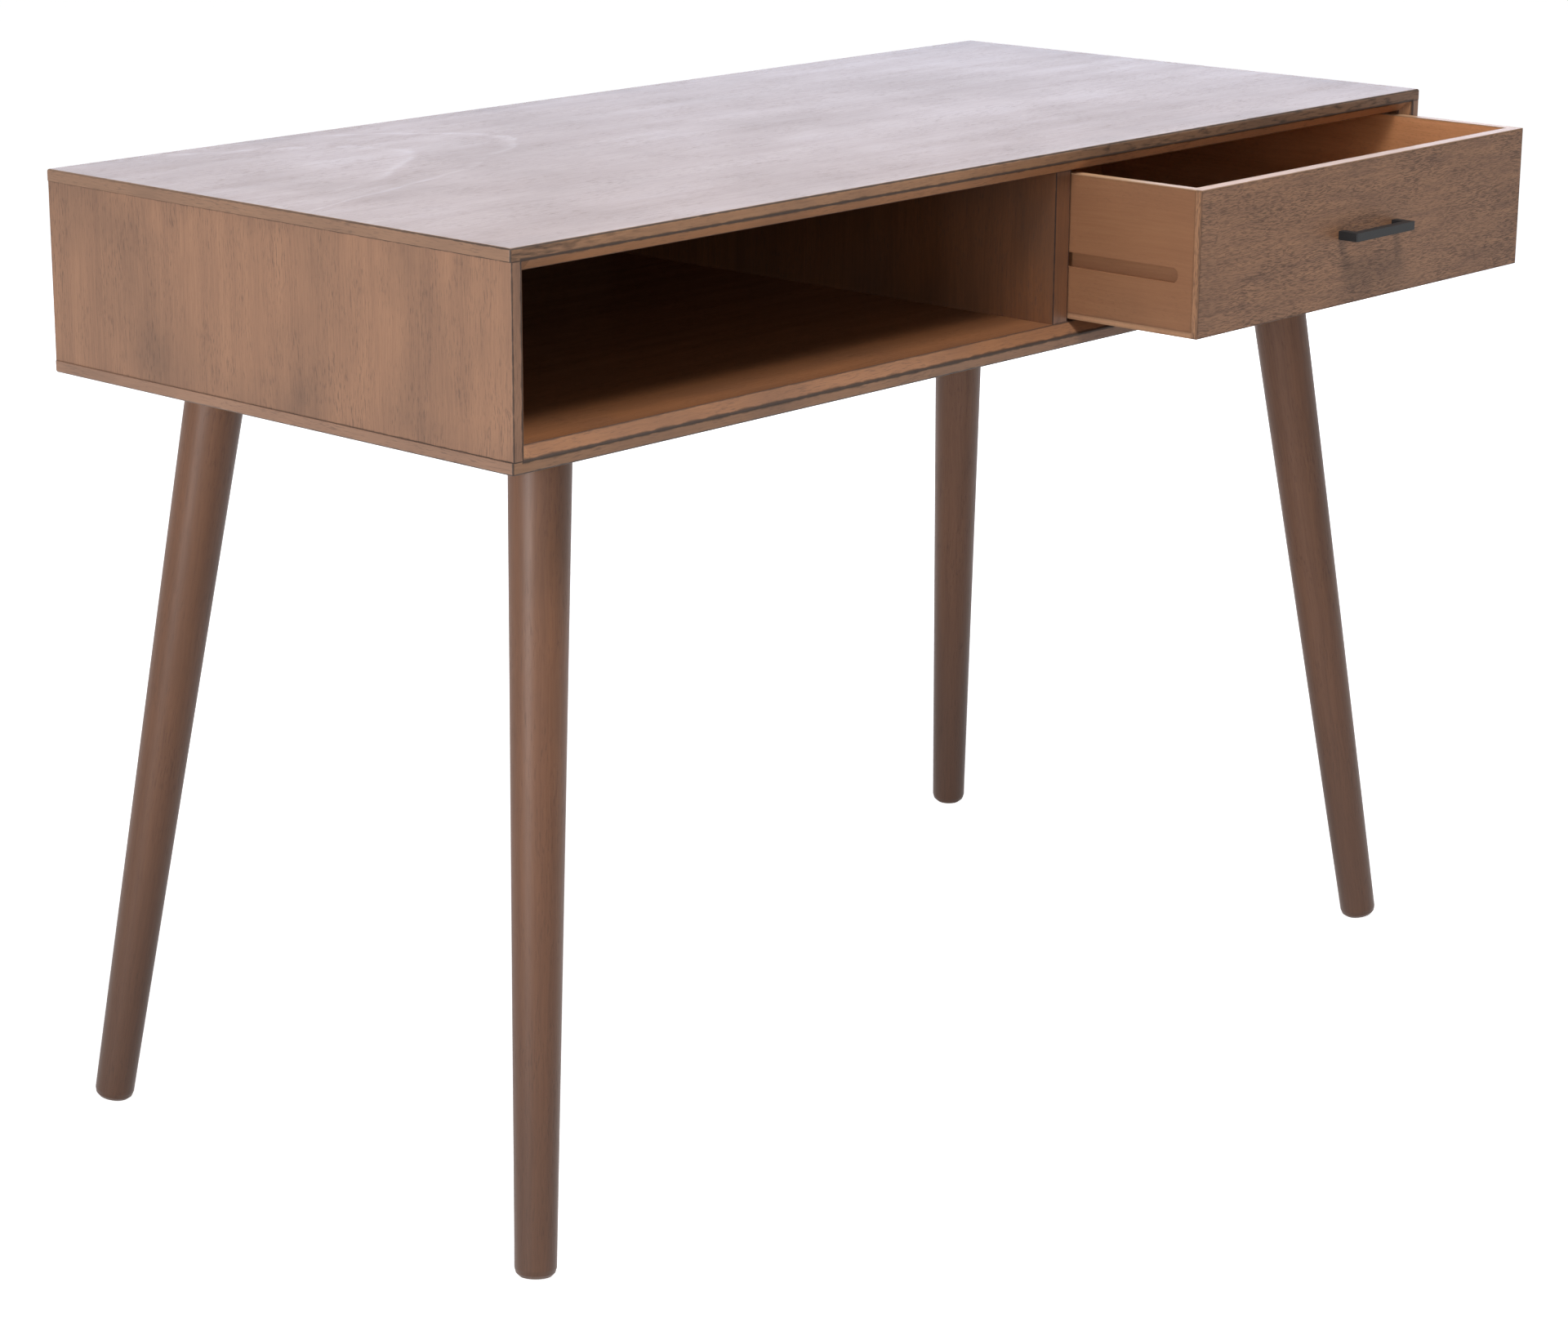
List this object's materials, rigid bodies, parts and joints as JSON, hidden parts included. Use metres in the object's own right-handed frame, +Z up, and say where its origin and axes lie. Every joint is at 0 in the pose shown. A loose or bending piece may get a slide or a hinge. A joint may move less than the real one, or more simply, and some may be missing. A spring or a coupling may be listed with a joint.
{
  "type": "writing desk",
  "caption": "Shallow writing desk with an open cubby beside a sliding drawer with a bar pull, in a case with bevelled front edges on splayed round tapered legs.",
  "frame": {"origin": "on the floor, at the middle of the rectangle of the four feet, under the middle of the case", "axes": "+X to the right along the front, -Y out of the front, +Z up"},
  "size_m": [1.1, 0.6481, 0.76],
  "materials": {
    "walnut_veneer": "stained open-pored veneer, satin lacquer",
    "turned_walnut": "stained turned wood, satin lacquer",
    "back_board": "stained veneer, matt",
    "drawer_board": "stained plain board, matt lacquer",
    "beech": "plain sanded beech",
    "black_metal": "matt black powder coat",
    "zinc_plated_steel": "bright zinc plating"
  },
  "bodies": {
    "desk": {"top_panel": "walnut_veneer", "bottom_panel": "walnut_veneer", "left_side_panel": "walnut_veneer", "right_side_panel": "walnut_veneer", "divider_panel": "walnut_veneer", "front_left_leg": "turned_walnut", "front_right_leg": "turned_walnut", "rear_left_leg": "turned_walnut", "rear_right_leg": "turned_walnut", "back_panel": "back_board", "left_runner": "beech", "right_runner": "beech", "drawer_stop": "beech", "leg_bolts": "zinc_plated_steel", "leg_inserts": "zinc_plated_steel"},
    "drawer": {"drawer_front": "walnut_veneer", "drawer_left_side": "drawer_board", "drawer_right_side": "drawer_board", "drawer_back": "drawer_board", "drawer_bottom": "drawer_board", "drawer_pull": "black_metal"}
  },
  "joints": [
    {"name": "drawer_slide", "type": "slide", "parent": "desk", "child": "drawer", "axis": [0, -1, 0], "range_m": [-0.127, 0.183]}
  ]
}
